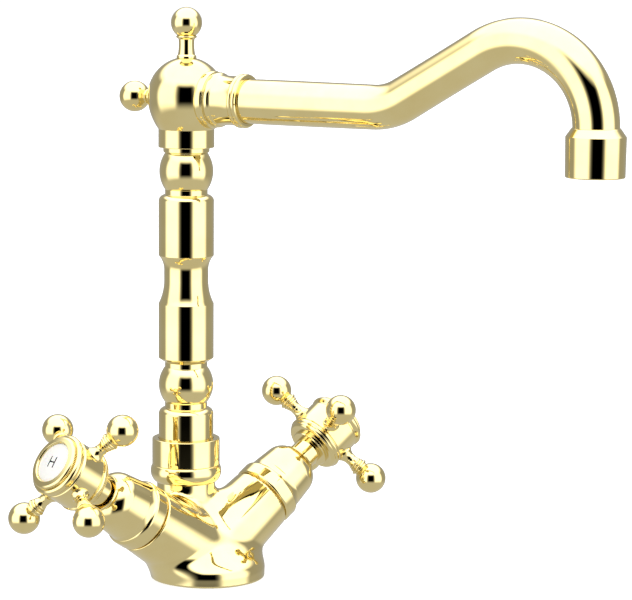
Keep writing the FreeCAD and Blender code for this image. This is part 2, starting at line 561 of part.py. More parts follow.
def handle(side):
    axis = valve_axis(side)
    sleeve = turned(f"{side}_stem_sleeve", ring_outline("spindle_radius + 0.02", "stem_radius",
                                                        "stem_start", "hub_start"), axis)
    blank = turned(f"{side}_hub_blank", [
        ("spindle_radius + 0.02", "hub_start"), ("9.4", "hub_start"),
        ("9.8", "hub_start + 0.4"), ("9.8", "hub_start + 1.7"),
        ("hub_ring - 2.6", "hub_start + 1.7"), ("hub_ring - 0.9", "hub_start + 3.4", "2"),
        ("hub_ring - 0.7", "hub_start + 3.6"), ("hub_ring - 0.3", "hub_start + 5.4", "1.6"),
        ("hub_radius - 0.4", "hub_start + 5.7"), ("hub_radius - 0.4", "hub_start + 6"),
        ("hub_radius", "hub_start + 6.4"), ("hub_radius", "hub_end - 4.8"),
        ("hub_radius - 0.7", "hub_end - 4", "- 1.2"), ("hub_radius - 0.7", "hub_end - 3.6"),
        ("hub_lip - 0.3", "hub_end - 3"), ("hub_lip - 0.3", "hub_end - 0.4", "1.6"),
        ("hub_lip - 0.9", "hub_end"),
        ("11.3", "hub_end"), ("11.3", "hub_end - 3.2"), ("5", "hub_end - 3.2"),
        ("5", "hub_end - 8.2"), ("2.2", "hub_end - 8.2"), ("2.2", "spindle_end"),
        ("spindle_radius + 0.02", "spindle_end")], axis)
    seats = []
    for number in range(4):
        along = spoke_axis(side, number)
        seats.append(drum(f"{side}_tenon_hole_{number}", "spoke_tenon + 0.02", "8", along,
                          "6.4"))
        seats.append(drum(f"{side}_boss_seat_{number}", "spoke_boss + 0.03", "6", along,
                          "spoke_seat"))
        finished(spoke(side, number), f"{side}_spoke_{number + 1}")
    finished(sleeve, f"{side}_stem_sleeve")
    finished(cut(f"{side}_handle_hub", blank, seats), f"{side}_handle_hub")
    screw = turned(f"{side}_handle_screw", [
        ("0", "spindle_end - 6"), ("1.98", "spindle_end - 6"), ("1.98", "hub_end - 8.2"),
        ("3.6", "hub_end - 8.2"), ("3.6", "hub_end - 5.6"), ("1.6", "hub_end - 5.6"),
        ("1.6", "hub_end - 7"), ("0", "hub_end - 7")], axis)
    bezel = turned(f"{side}_bezel_ring", [
        ("index_radius + 0.05", "hub_end - 3.1"), ("11.25", "hub_end - 3.1"),
        ("11.25", "hub_end"), ("bezel_radius", "hub_end"), ("bezel_radius", "hub_end + 1.1"),
        ("bezel_radius - 1", "bezel_end - 0.3", "1.8"), ("window_radius + 0.4", "bezel_end"),
        ("window_radius", "bezel_end - 0.6"), ("window_radius", "bezel_end - 1.3"),
        ("index_radius + 0.05", "bezel_end - 1.3")], axis)
    index = turned(f"{side}_index_disc", [
        ("0", "hub_end - 1.6"), ("index_radius", "hub_end - 1.6"),
        ("index_radius", "bezel_end - 1.3"), ("window_radius - 0.05", "bezel_end - 1.3"),
        ("window_radius - 0.6", "bezel_end - 0.8"), ("0", "bezel_end - 0.8")], axis)
    finished(screw, f"{side}_handle_screw")
    finished(bezel, f"{side}_bezel_ring")
    finished(index, f"{side}_index_disc")


# ---- assembly ---------------------------------------------------------------------------

finished(base_casting(), "mixer_body")
swivel()
finished(riser_column(), "riser_column")
for number, start in enumerate(("lower_groove", "upper_groove"), start=1):
    seal_ring(f"column_seal_{number}", "7.72", "0.79", f"{start} + 1", COLUMN)
finished(ball_head(), "ball_head")
finials()
finished(spout_union(), "spout_union")
finished(flange_ring(), "spout_flange_ring")
finished(turned("spout_seal", ring_outline("6.6", "tube_radius - 0.05", "seal_start",
                                           "tube_start"), SPOUT_AXIS), "spout_seal")
finished(spout_tube(), "spout_tube")
aerator()
for side in SIDES:
    valve(side)
    handle(side)

doc.recompute()
for thing in doc.Objects:
    if "Invalid" in thing.State or "Error" in thing.State:
        raise RuntimeError(f"{thing.Name} failed: {thing.State}")
for thing in made:
    if thing.Shape.isNull() or not thing.Shape.isValid() or len(thing.Shape.Solids) != 1:
        raise RuntimeError(f"{thing.Label} is not one valid solid")

os.makedirs("parts", exist_ok=True)
for thing in made:
    thing.Shape.exportStep(f"parts/{thing.Label}.step")
print(len(made), "sub-parts written")
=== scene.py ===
import json
import math

import bpy
import numpy as np
from mathutils import Matrix, Vector


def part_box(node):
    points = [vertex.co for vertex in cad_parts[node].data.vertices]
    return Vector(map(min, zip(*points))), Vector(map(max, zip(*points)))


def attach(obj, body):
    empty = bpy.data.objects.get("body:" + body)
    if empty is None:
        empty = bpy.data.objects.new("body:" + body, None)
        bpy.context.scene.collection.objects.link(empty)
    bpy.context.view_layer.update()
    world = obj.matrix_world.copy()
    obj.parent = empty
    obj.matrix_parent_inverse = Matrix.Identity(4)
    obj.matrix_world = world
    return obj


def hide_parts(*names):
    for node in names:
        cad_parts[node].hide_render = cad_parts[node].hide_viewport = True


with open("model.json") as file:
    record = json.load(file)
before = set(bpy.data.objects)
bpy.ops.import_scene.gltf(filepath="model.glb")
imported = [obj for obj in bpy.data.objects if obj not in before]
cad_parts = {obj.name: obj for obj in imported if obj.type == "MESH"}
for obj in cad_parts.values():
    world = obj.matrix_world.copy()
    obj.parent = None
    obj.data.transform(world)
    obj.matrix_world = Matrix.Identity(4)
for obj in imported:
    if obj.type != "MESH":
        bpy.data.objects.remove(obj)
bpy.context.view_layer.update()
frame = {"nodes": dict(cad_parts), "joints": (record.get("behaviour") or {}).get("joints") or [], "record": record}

MM = 0.001
ROUND_SEGMENTS = 192       # steps round a turned piece
SPOKE_SEGMENTS = 96
EDGE_BREAK = 0.22          # radius of an unstated turned edge, mm
SMOOTH_BREAK = math.radians(4)      # a corner that turns less than this is left as it is
LONGEST_STEP = 3.5         # along a straight edge, mm
LONGEST_ARC_STEP = 1.5
ARC_STEP = math.radians(4)
HAIRPIN = 2.6              # a corner that turns more than this takes a plain cut, radians
CORNER_STEPS = 6

record = frame["record"]
joints = {joint["name"]: joint for joint in frame["joints"]}
node_slots = {part["node"]: part["material_slot"] for part in record["subparts"]}


def middle(node):
    low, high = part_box(node)
    return (low + high) / 2


# ---- materials --------------------------------------------------------------------------

class Nodes:
    """A short way to write one material's nodes."""

    def __init__(self, name):
        self.material = bpy.data.materials.new(name)
        self.material.use_nodes = True
        self.tree = self.material.node_tree
        self.shader = self.tree.nodes["Principled BSDF"]

    def add(self, kind, **inputs):
        node = self.tree.nodes.new("ShaderNode" + kind)
        for key, value in inputs.items():
            self.put(node, key, value)
        return node

    def put(self, node, key, value):
        if key.startswith("in_"):
            socket = node.inputs[int(key[3:])]
        elif key.replace("_", " ") in node.inputs and not hasattr(node, key):
            socket = node.inputs[key.replace("_", " ")]
        else:
            setattr(node, key, value)
            return
        if isinstance(value, bpy.types.NodeSocket):
            self.tree.links.new(value, socket)
        else:
            socket.default_value = value

    def place(self, scale=(1, 1, 1)):
        coordinates = self.add("TexCoord")
        mapping = self.add("Mapping", Vector=coordinates.outputs["Object"])
        mapping.inputs["Scale"].default_value = scale
        return mapping.outputs["Vector"]

    def noise(self, scale, detail=3.0, rough=0.5, where=None):
        node = self.add("TexNoise", Vector=where or self.place(), Scale=scale, Detail=detail,
                        Roughness=rough)
        return node.outputs["Fac"]

    def span(self, value, low, high, start=0.3, end=0.7):
        node = self.add("MapRange", in_0=value, in_1=start, in_2=end, in_3=low, in_4=high)
        return node.outputs["Result"]

    def mix(self, amount, first, second):
        node = self.tree.nodes.new("ShaderNodeMix")
        node.data_type = "RGBA"
        for socket, value in zip((node.inputs[0], node.inputs[6], node.inputs[7]),
                                 (amount, first, second)):
            if isinstance(value, bpy.types.NodeSocket):
                self.tree.links.new(value, socket)
            else:
                socket.default_value = value
        return node.outputs[2]

    def math(self, kind, first, second=0.0):
        node = self.add("Math", operation=kind, in_0=first, in_1=second)
        return node.outputs[0]

    def bump(self, height, strength, distance):
        node = self.add("Bump", Height=height, Strength=strength, Distance=distance)
        self.tree.links.new(node.outputs["Normal"], self.shader.inputs["Normal"])

    def set(self, **values):
        for key, value in values.items():
            self.put(self.shader, key, value)


def brass(name, light, deep, rough, polish=True):
    n = Nodes(name)
    cloud = n.span(n.noise(55, 4, 0.55), 0, 1)
    colour = n.mix(cloud, light, deep)
    # Painted shade: concave creases and hollows, where pointiness is low, are mixed towards a dark brown.
    crease = n.add("NewGeometry").outputs["Pointiness"]
    painted_crease_shade = n.span(crease, 1, 0, 0.44, 0.5)
    colour = n.mix(n.math("MULTIPLY", painted_crease_shade, 0.45), colour, (deep[0] * 0.42, deep[1] * 0.38,
                                                               deep[2] * 0.25, 1))
    hairlines = n.noise(900, 2, 0.6, n.place((1, 0.08, 0.3)))
    haze = n.noise(140, 5, 0.6)
    if polish:
        worn = n.math("ADD", n.span(haze, rough * 0.7, rough * 1.5),
                      n.span(hairlines, 0.0, rough * 0.5, 0.55, 0.75))
        n.bump(n.math("ADD", n.math("MULTIPLY", hairlines, 0.08), n.noise(120, 1)), 0.05,
               0.0002)
        n.set(Coat_Weight=0.35, Coat_Roughness=0.04)
    else:
        worn = n.span(haze, rough * 0.8, rough * 1.3)
        n.bump(hairlines, 0.25, 0.0004)
    n.set(Metallic=1.0, Base_Color=colour, Roughness=worn)
    return n.material


def porcelain():
    n = Nodes("porcelain_glaze")
    cloud = n.span(n.noise(90, 4), 0, 1)
    n.set(Base_Color=n.mix(cloud, (0.90, 0.89, 0.85, 1), (0.94, 0.93, 0.89, 1)),
          Roughness=n.span(n.noise(400, 3), 0.16, 0.24), Coat_Weight=0.35,
          Coat_Roughness=0.03, Subsurface_Weight=0.1, Subsurface_Scale=0.001)
    n.bump(n.noise(260, 2), 0.04, 0.0003)
    return n.material


def enamel():
    n = Nodes("index_enamel")
    n.set(Base_Color=n.mix(n.noise(900, 2), (0.015, 0.018, 0.03, 1), (0.05, 0.055, 0.08, 1)),
          Roughness=n.span(n.noise(700, 2), 0.2, 0.35), Coat_Weight=0.4)
    n.bump(n.noise(1500, 2), 0.1, 0.0001)
    return n.material


def plain(name, light, dark, rough, grain, relief, metallic=0.0):
    n = Nodes(name)
    n.set(Base_Color=n.mix(n.span(n.noise(grain, 5, 0.6), 0, 1), light, dark),
          Roughness=n.span(n.noise(grain * 2, 3), rough * 0.85, min(rough * 1.15, 1)),
          Metallic=metallic)
    n.bump(n.noise(grain * 3, 4, 0.65), relief, 0.0003)
    return n.material


POLISHED = brass("polished_brass_lacquered", (0.88, 0.745, 0.36, 1),
                 (0.84, 0.685, 0.3, 1), 0.018)
FINISHES = {
    "polished_brass": POLISHED,
    "raw_brass": brass("raw_brass_turned", (0.70, 0.55, 0.27, 1), (0.60, 0.45, 0.2, 1), 0.32,
                       polish=False),
    "porcelain": porcelain(),
    "technical_ceramic": plain("lapped_ceramic", (0.86, 0.85, 0.81, 1), (0.78, 0.77, 0.73, 1),
                               0.3, 500, 0.05),
    "seal_rubber": plain("seal_rubber_black", (0.035, 0.035, 0.036, 1),
                         (0.018, 0.018, 0.019, 1), 0.7, 700, 0.25),
    "slide_plastic": plain("slide_plastic_white", (0.88, 0.88, 0.86, 1),
                           (0.80, 0.80, 0.78, 1), 0.45, 500, 0.1),
    "aerator_plastic": plain("aerator_plastic_grey", (0.62, 0.63, 0.65, 1),
                             (0.5, 0.51, 0.53, 1), 0.4, 500, 0.1),
    "stainless_steel": plain("stainless_turned", (0.62, 0.62, 0.61, 1), (0.5, 0.5, 0.5, 1),
                             0.25, 600, 0.1, metallic=1.0),
}
ENAMEL = enamel()

# ---- turned pieces ----------------------------------------------------------------------

class Line:
    def __init__(self, start, end):
        self.start, self.end = start, end
        self.length = float(np.hypot(*(end - start)))
        self.direction = (end - start) / self.length

    def at(self, s):
        return self.start + self.direction * s, self.direction

    def steps(self):
        return max(1, math.ceil(self.length / LONGEST_STEP))


class Arc:
    """The minor arc from start to end; a positive radius bulges out when the outline climbs."""

    def __init__(self, start, end, radius):
        chord = end - start
        span = float(np.hypot(*chord))
        left = np.array([-chord[1], chord[0]]) / span
        rise = math.sqrt(max(radius * radius - span * span / 4, 0.0))
        self.centre = start + chord / 2 + left * (rise if radius > 0 else -rise)
        self.radius = abs(radius)
        self.way = 1.0 if radius > 0 else -1.0
        spoke = start - self.centre
        self.first = math.atan2(spoke[1], spoke[0])
        self.length = 2 * self.radius * math.asin(min(1.0, span / 2 / self.radius))

    def at(self, s):
        turn = self.first + self.way * s / self.radius
        out = np.array([math.cos(turn), math.sin(turn)])
        return self.centre + out * self.radius, np.array([-out[1], out[0]]) * self.way

    def steps(self):
        return max(3, math.ceil(self.length / self.radius / ARC_STEP),
                   math.ceil(self.length / LONGEST_ARC_STEP))


def profile(outline, closed=True):
    """Samples (radius, height, normal's radius part, normal's height part) along an outline.
    An entry is (radius, height), with an arc's radius third (0 for a straight edge) and the
    rounding of the entry's own corner fourth."""
    corners = [np.array(entry[:2], float) for entry in outline]
    count = len(outline)
    edges = []
    for i in range(0 if closed else 1, count):
        bend = outline[i][2] if len(outline[i]) > 2 else 0
        start, end = corners[i - 1], corners[i]
        edges.append(Arc(start, end, bend) if bend else Line(start, end))
    ends = list(range(0 if closed else 1, count))
    trims = [[0.0, 0.0] for _ in edges]
    joins = {}
    for k, i in enumerate(ends):
        if not closed and k == len(edges) - 1:
            break
        after = (k + 1) % len(edges)
        before_way = edges[k].at(edges[k].length)[1]
        after_way = edges[after].at(0)[1]
        turn = abs(math.atan2(before_way[0] * after_way[1] - before_way[1] * after_way[0],
                              float(before_way @ after_way)))
        if turn < SMOOTH_BREAK:
            continue
        wish = outline[i][3] if len(outline[i]) > 3 else EDGE_BREAK
        cut = min(wish * math.tan(turn / 2) if turn < HAIRPIN else wish,
                  0.45 * edges[k].length, 0.45 * edges[after].length)
        trims[k][1] = trims[after][0] = cut
        joins[k] = after
    samples = []

    def keep(point, way):
        samples.append((point[0], point[1], way[1], -way[0]))

    for k, edge in enumerate(edges):
        start, end = trims[k][0], edge.length - trims[k][1]
        steps = edge.steps()
        for step in range(steps + 1):
            if step == 0 and samples and trims[k][0] == 0:
                continue
            keep(*edge.at(start + (end - start) * step / steps))
        if k not in joins:
            continue
        a, a_way = edge.at(end)
        b, b_way = edges[joins[k]].at(trims[joins[k]][0])
        cross = a_way[0] * b_way[1] - a_way[1] * b_way[0]
        reach = ((b - a)[0] * b_way[1] - (b - a)[1] * b_way[0]) / cross
        control = a + a_way * reach
        for step in range(1, CORNER_STEPS):
            t = step / CORNER_STEPS
            point = a * (1 - t) ** 2 + control * 2 * t * (1 - t) + b * t * t
            way = (control - a) * (1 - t) + (b - control) * t
            keep(point, way / np.hypot(*way))
    rows = np.array(samples)
    if closed and np.hypot(*(rows[0, :2] - rows[-1, :2])) < 1e-6:
        rows = rows[:-1]
    return rows


def placed(origin, axis):
    """Matrix whose Z is the axis, from a point and a direction in millimetres."""
    z = Vector(axis).normalized()
    x = Vector((0, 0, 1)) - z * z.z
    x = x.normalized() if x.length > 1e-3 else Vector((1, 0, 0))
    y = z.cross(x)
    matrix = Matrix((x, y, z)).transposed().to_4x4()
    matrix.translation = Vector(origin)
    return matrix


def piece(name, points, faces, normals, where, body, material, nodes):
    """A mesh in the row frame from local millimetre arrays."""
    matrix = np.array(where)
    points = (points @ matrix[:3, :3].T + matrix[:3, 3]) * MM
    mesh = bpy.data.meshes.new(name)
    mesh.from_pydata(points.tolist(), [], faces)
    mesh.shade_smooth()
    if normals is not None:
        turned = normals @ matrix[:3, :3].T
        turned /= np.linalg.norm(turned, axis=1)[:, None]
        mesh.normals_split_custom_set_from_vertices(turned.tolist())
    mesh.materials.append(material)
    thing = bpy.data.objects.new(name, mesh)
    bpy.context.scene.collection.objects.link(thing)
    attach(thing, body)
    if nodes:
        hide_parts(*nodes)
    return thing


def lathe(name, outline, where, body, nodes=(), closed=True, material=POLISHED,
          segments=ROUND_SEGMENTS):
    rows = profile(outline, closed)
    turn = np.linspace(0, math.tau, segments, endpoint=False)
    ring = np.stack([np.cos(turn), np.sin(turn)], 1)
    points, normals, starts = [], [], []
    total = 0
    for radius, height, out, up in rows:
        pole = radius < 1e-4
        starts.append((total, pole))
        if pole:
            points.append([[0, 0, height]])
            normals.append([[0, 0, math.copysign(1, up)]])
            total += 1
        else:
            points.append(np.column_stack([ring * radius, np.full(segments, height)]))
            normals.append(np.column_stack([ring * out, np.full(segments, up)]))
            total += segments
    faces = []
    pairs = list(zip(starts, starts[1:] + starts[:1])) if closed else list(
        zip(starts, starts[1:]))
    following = [(k + 1) % segments for k in range(segments)]
    for (low, low_pole), (high, high_pole) in pairs:
        for k, after in enumerate(following):
            if low_pole:
                faces.append((low, high + after, high + k))
            elif high_pole:
                faces.append((low + k, low + after, high))
            else:
                faces.append((low + k, low + after, high + after, high + k))
    return piece(name, np.concatenate(points), faces, np.concatenate(normals), where, body,
                 material, nodes)


# ---- places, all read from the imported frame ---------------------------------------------

pivot = Vector(joints["spout_swivel"]["pos_m"]) / MM
COLUMN = placed(pivot, (0, 0, 1))
outlet = middle("aerator_housing") / MM
reach = Vector((outlet.x - pivot.x, outlet.y - pivot.y, 0))
along = reach.normalized()
level = middle("spout_flange_ring").z / MM
head = Vector((pivot.x, pivot.y, level))
SPOUT = placed(head, along)
REAR = placed(head, -along)
OUTLET = placed((outlet.x, outlet.y, 0), (0, 0, 1))
CROSS_CENTRE = 89.7        # the spokes' plane, from the foot of the valve's axis, mm

valve_places = {}
for side, outward in (("hot", 1), ("cold", -1)):
    joint = joints[f"{side}_handle_turn"]
    axis = Vector(joint["axis"]) * outward
    centre = Vector(joint["pos_m"]) / MM
    valve_places[side] = placed(centre - axis * CROSS_CENTRE, axis)

# ---- column, ball head and finials ------------------------------------------------------

def ball_tip(outline, neck, centre, radius):
    """An open outline that ends in a ball, whose last point is its pole."""
    low = centre - math.sqrt(radius ** 2 - neck ** 2)
    return outline + [(neck, low, 0, 0.35), (0, centre + radius, radius)]


lathe("swivel_ring_turned", [(13.65, 42.6), (14.4, 42.6), (15.9, 50.4, 6.4), (15.5, 50.8),
                             (13.65, 50.8)], COLUMN, "root", ["swivel_ring"])
lathe("column_collar_nut_turned",
      [(13.7, 50.8), (15.85, 50.8), (15.85, 63.2, 0, 0.6), (12.93, 63.2), (12.93, 60.4),
       (13.7, 60.4)], COLUMN, "root", ["column_collar_nut"])
lathe("riser_column_turned", [
    (5, 32), (8.5, 32), (8.5, 57.9), (13.4, 57.9), (13.4, 60.3), (12.85, 60.3),
    (12.85, 75, 0, 0.5), (9.9, 77.6, 3.2), (9.9, 80.2), (9.9, 96.9, 13.6), (9.9, 99.2),
    (12.85, 101.2, 0, 0.4), (12.85, 126.7, 0, 0.4), (12.25, 128.0, 0, 1.2),
    (10.3, 137.5, -24), (10.3, 142.3), (12.85, 149.3, -10), (12.85, 175, 0, 0.5),
    (9.9, 177.6, 3.2), (9.9, 180), (9.9, 196.9, 15), (10.7, 197.5), (10.7, 199.5),
    (7.5, 199.5), (7.5, 206), (5, 206)], COLUMN, "spout", ["riser_column"])
lathe("ball_head_turned", [
    (7.52, 199.5), (12.95, 199.5, 0, 0.4), (12.95, 207.9, 0, 0.4),
    (17.9, 223.2, 26.5), (4.6, 240.5, 17.9), (2.0, 240.5), (2.0, 236.8), (6, 210.9, -13.5),
    (6, 206.1), (7.52, 206.1)], COLUMN, "spout", ["ball_head"])
lathe("top_finial_turned", ball_tip([
    (0, 237), (2, 237), (2, 240.5), (4.6, 240.5), (4.6, 241.5, 0, 0.4),
    (4.0, 242.2, 0, 0.3), (3.7, 249.2, -26), (4.6, 249.9, 0, 0.2), (4.6, 250.8, 0.6),
    (3.5, 251.1)], 3.4, 256.7, 7.2), COLUMN, "spout", ["top_finial"], closed=False)
lathe("rear_finial_turned", ball_tip([
    (0, 14.1), (2, 14.1), (2, 17.3), (3.6, 17.3), (3.6, 18.3), (2.7, 19.1, 0, 0.4),
    (2.7, 20.5), (3.3, 20.7), (3.3, 21.7, 0.6), (2.9, 21.9)], 2.9, 28.8, 7.2),
    REAR, "spout", ["rear_finial"], closed=False)

# ---- spout ------------------------------------------------------------------------------

lathe("spout_union_turned", [
    (6.5, 6), (8.5, 6), (8.5, 11.9), (12.8, 11.9, 0, 0.4), (12.8, 16.2, 4.4), (12.0, 16.5),
    (12.0, 19.6, 2.2), (11.7, 19.9, 0, 0.4), (11.7, 29.4, -24), (10.15, 29.4),
    (10.15, 19.5), (6.5, 19.5)], SPOUT, "spout", ["spout_union"])
lathe("spout_flange_ring_turned", [
    (10.15, 29.4), (12.0, 29.4), (12.0, 31.3, 1.4), (12.0, 33.3, 1.6), (11.4, 33.6),
    (10.15, 33.6)], SPOUT, "spout", ["spout_flange_ring"])
lathe("aerator_housing_turned", [
    (11.45, 196.6), (12.8, 196.6, 0, 1.5), (13.0, 213.9, 0, 0.3),
    (12.7, 214.3, 0, 0.3), (10.6, 217.3, 0, 0.5), (10.15, 217.6), (10.15, 207.5),
    (10.35, 207.5), (10.35, 197.4)], OUTLET, "spout", ["aerator_housing"])


TUBE_WALL = 1.2
TUBE_START = 21.4


def swan_neck():
    """The bent tube, a little slimmer on its rise than on its level run and its crown.
    Its path holds how far out and how high each point is, and how steeply the tube climbs."""
    lean, bend, crown = math.radians(30.2), 30.0, 36.0
    reach_out, crown_up, foot = reach.length, 217.2, 207.5
    top = np.array([reach_out - crown, crown_up])
    shoulder = top + crown * np.array([-math.sin(lean), math.cos(lean)])
    corner = np.array([shoulder[0] - (shoulder[1] - level) / math.tan(lean), level])
    back = bend * math.tan(lean / 2)
    bend_end = corner + back * np.array([math.cos(lean), math.sin(lean)])
    path = []
    for u in np.arange(TUBE_START, corner[0] - back, 1.5):
        path.append((u, level, 0.0))
    for a in np.linspace(0, lean, 14, endpoint=False):
        path.append((corner[0] - back + bend * math.sin(a), level + bend * (1 - math.cos(a)),
                     a))
    run = np.linspace(0, 1, 30, endpoint=False)
    for t in run:
        spot = bend_end + (shoulder - bend_end) * t
        path.append((spot[0], spot[1], lean))
    for a in np.linspace(lean, -math.pi / 2, 70, endpoint=False):
        path.append((top[0] - crown * math.sin(a), top[1] + crown * math.cos(a), a))
    for z in np.linspace(crown_up, foot, 8):
        path.append((reach_out, z, -math.pi / 2))
    path = np.array(path)
    gaps = np.hypot(*np.diff(path[:, :2], axis=0).T)
    travel = np.concatenate([[0], np.cumsum(gaps)])
    total = travel[-1]
    stations = [0, 10.5, 15, 55, 88, 110, 135, 165, 200, total]
    radii = [10.1, 10.1, 10.15, 10.1, 9.9, 9.7, 9.7, 10.0, 10.1, 10.1]
    slopes = np.gradient(radii, stations)
    which = np.clip(np.searchsorted(stations, travel, "right") - 1, 0, len(stations) - 2)
    x0, x1 = np.take(stations, which), np.take(stations, which + 1)
    t = (travel - x0) / (x1 - x0)
    r0, r1 = np.take(radii, which), np.take(radii, which + 1)
    m0, m1 = np.take(slopes, which) * (x1 - x0), np.take(slopes, which + 1) * (x1 - x0)
    radius = ((2 * t ** 3 - 3 * t ** 2 + 1) * r0 + (t ** 3 - 2 * t ** 2 + t) * m0
              + (3 * t ** 2 - 2 * t ** 3) * r1 + (t ** 3 - t ** 2) * m1)
    segments = 128
    turn = np.linspace(0, math.tau, segments, endpoint=False)
    shells = []
    for wall, way in ((0.0, 1), (TUBE_WALL, -1)):
        rings, outs = [], []
        for (u, z, a), r in zip(path, radius):
            upward = np.array([-math.sin(a), 0, math.cos(a)])
            across = np.array([0, 1, 0])
            out = np.outer(np.cos(turn), upward) + np.outer(np.sin(turn), across)
            rings.append(np.array([u, 0, z]) + out * (r - wall))
            outs.append(out * way)
        shells.append((rings, outs))
    rings = shells[0][0] + shells[1][0][::-1]
    outs = shells[0][1] + shells[1][1][::-1]
    points, normals = np.concatenate(rings), np.concatenate(outs)
    faces = []
    count = len(rings)
    for row in range(count):
        low, high = row * segments, ((row + 1) % count) * segments
        for k in range(segments):
            after = (k + 1) % segments
            faces.append((low + after, low + k, high + k, high + after))
    x = Vector(along)
    matrix = Matrix((x, Vector((0, 0, 1)).cross(x), Vector((0, 0, 1)))).transposed().to_4x4()
    matrix.translation = Vector((pivot.x, pivot.y, 0))
    return piece("swan_neck_tube", points, faces, normals, matrix, "spout", POLISHED,
                 ["spout_tube"])


swan_neck()

# ---- valve bonnets and cross handles ----------------------------------------------------

RIB_ROOT = 0.4


def milled(name, where, body, bottom, top, low, high, teeth=104):
    """A narrow band of fine ribs round the bezel, its ridges slightly rounded."""
    steps = 6
    count = teeth * steps
    turn = np.linspace(0, math.tau, count, endpoint=False)
    wave = 0.5 + 0.5 * np.cos(turn * teeth)
    radius = low + (high - low) * wave
    slope = -(high - low) * 0.5 * teeth * np.sin(turn * teeth)
    out = np.stack([np.cos(turn), np.sin(turn)], 1)
    side_way = np.stack([-out[:, 1], out[:, 0]], 1)
    facing = out * radius[:, None] - side_way * slope[:, None]
    facing /= np.linalg.norm(facing, axis=1)[:, None]
    rings = [(bottom, -1.0), (bottom + 0.05, 0.0), (top - 0.05, 0.0), (top, 1.0)]
    points, normals = [], []
    for height, lean in rings:
        ribbed = lean == 0
        spread = radius if ribbed else np.full(count, low - RIB_ROOT)
        points.append(np.column_stack([out * spread[:, None], np.full(count, height)]))
        rows = np.column_stack([facing if ribbed else facing * 0.05, np.full(count, lean)])
        normals.append(rows / np.linalg.norm(rows, axis=1)[:, None])
    faces = []
    for row in range(len(rings) - 1):
        for k in range(count):
            after = (k + 1) % count
            faces.append((row * count + k, row * count + after, (row + 1) * count + after,
                          (row + 1) * count + k))
    return piece(name, np.concatenate(points), faces, np.concatenate(normals), where, body,
                 POLISHED, [])


def bezel(side, where, body):
    """The front ring: a rounded nose in front of a fine milled band."""
    lathe(f"{side}_bezel_turned", [
        (9.95, 98.1), (11.25, 98.1), (11.25, 101.2), (12.3, 101.2), (12.3, 102.0),
        (12.75, 102.05, 0, 0.1), (12.75, 102.35, 0, 0.2), (11.7, 103.15, 1.7),
        (9.8, 103.4, 0, 0.2), (9.4, 102.8), (9.4, 102.1), (9.95, 102.1)], where, body,
        [f"{side}_bezel_ring"])
    milled(f"{side}_bezel_milling", where, body, 101.22, 102.05, 12.55, 12.85)


DOME_TOP, DOME_RADIUS = 103.3, 48.0
STROKE_WIDTH = 0.62


def stroke(name, route, width, where, body, across, upward):
    """A raised enamel line that follows the dome of the disc, with half-round edges."""
    route = np.array(route, float)
    ways = np.gradient(route, axis=0)
    ways /= np.linalg.norm(ways, axis=1)[:, None]
    sides = np.stack([-ways[:, 1], ways[:, 0]], 1)
    section = [(-0.5, -0.05), (-0.47, 0.03), (-0.3, 0.06), (0.0, 0.07), (0.3, 0.06),
               (0.47, 0.03), (0.5, -0.05)]
    points = []
    for spot, side_way in zip(route, sides):
        for offset, lift in section:
            flat = spot + side_way * offset * width
            height = DOME_TOP - flat @ flat / (2 * DOME_RADIUS) + lift
            points.append(tuple(across * flat[0] + upward * flat[1]) + (height,))
    points = np.array(points)
    n, count = len(section), len(route)
    faces = []
    for row in range(count - 1):
        for k in range(n):
            after = (k + 1) % n
            faces.append((row * n + k, row * n + after, (row + 1) * n + after,
                          (row + 1) * n + k))
    faces.append(tuple(range(n))[::-1])
    faces.append(tuple((count - 1) * n + k for k in range(n)))
    normals = np.tile([0.0, 0.0, 1.0], (len(points), 1))
    return piece(name, points, faces, normals, where, body, ENAMEL, [])


def index_mark(side, where, body):
    """One generic capital on the disc, upright for somebody in front of the tap."""
    local_up = where.to_3x3().inverted() @ Vector((0, 0, 1))
    upward = np.array(Vector((local_up.x, local_up.y)).normalized())
    across = np.array([upward[1], -upward[0]])
    tall, wide, curve = 2.6, 1.7, 2.1
    if side == "hot":
        bars = [[(-wide, -tall + 2 * tall * t) for t in np.linspace(0, 1, 9)],
                [(wide, -tall + 2 * tall * t) for t in np.linspace(0, 1, 9)],
                [(-wide + 2 * wide * t, 0.0) for t in np.linspace(0, 1, 7)]]
    else:
        bars = [[(curve * math.cos(a), tall * math.sin(a))
                 for a in np.radians(np.linspace(48, 312, 34))]]
    for number, route in enumerate(bars, start=1):
        stroke(f"{side}_index_stroke_{number}", route, STROKE_WIDTH, where, body, across, upward)


CROSS_TURN = {"hot": math.radians(53.8), "cold": math.radians(50.7)}    # at rest


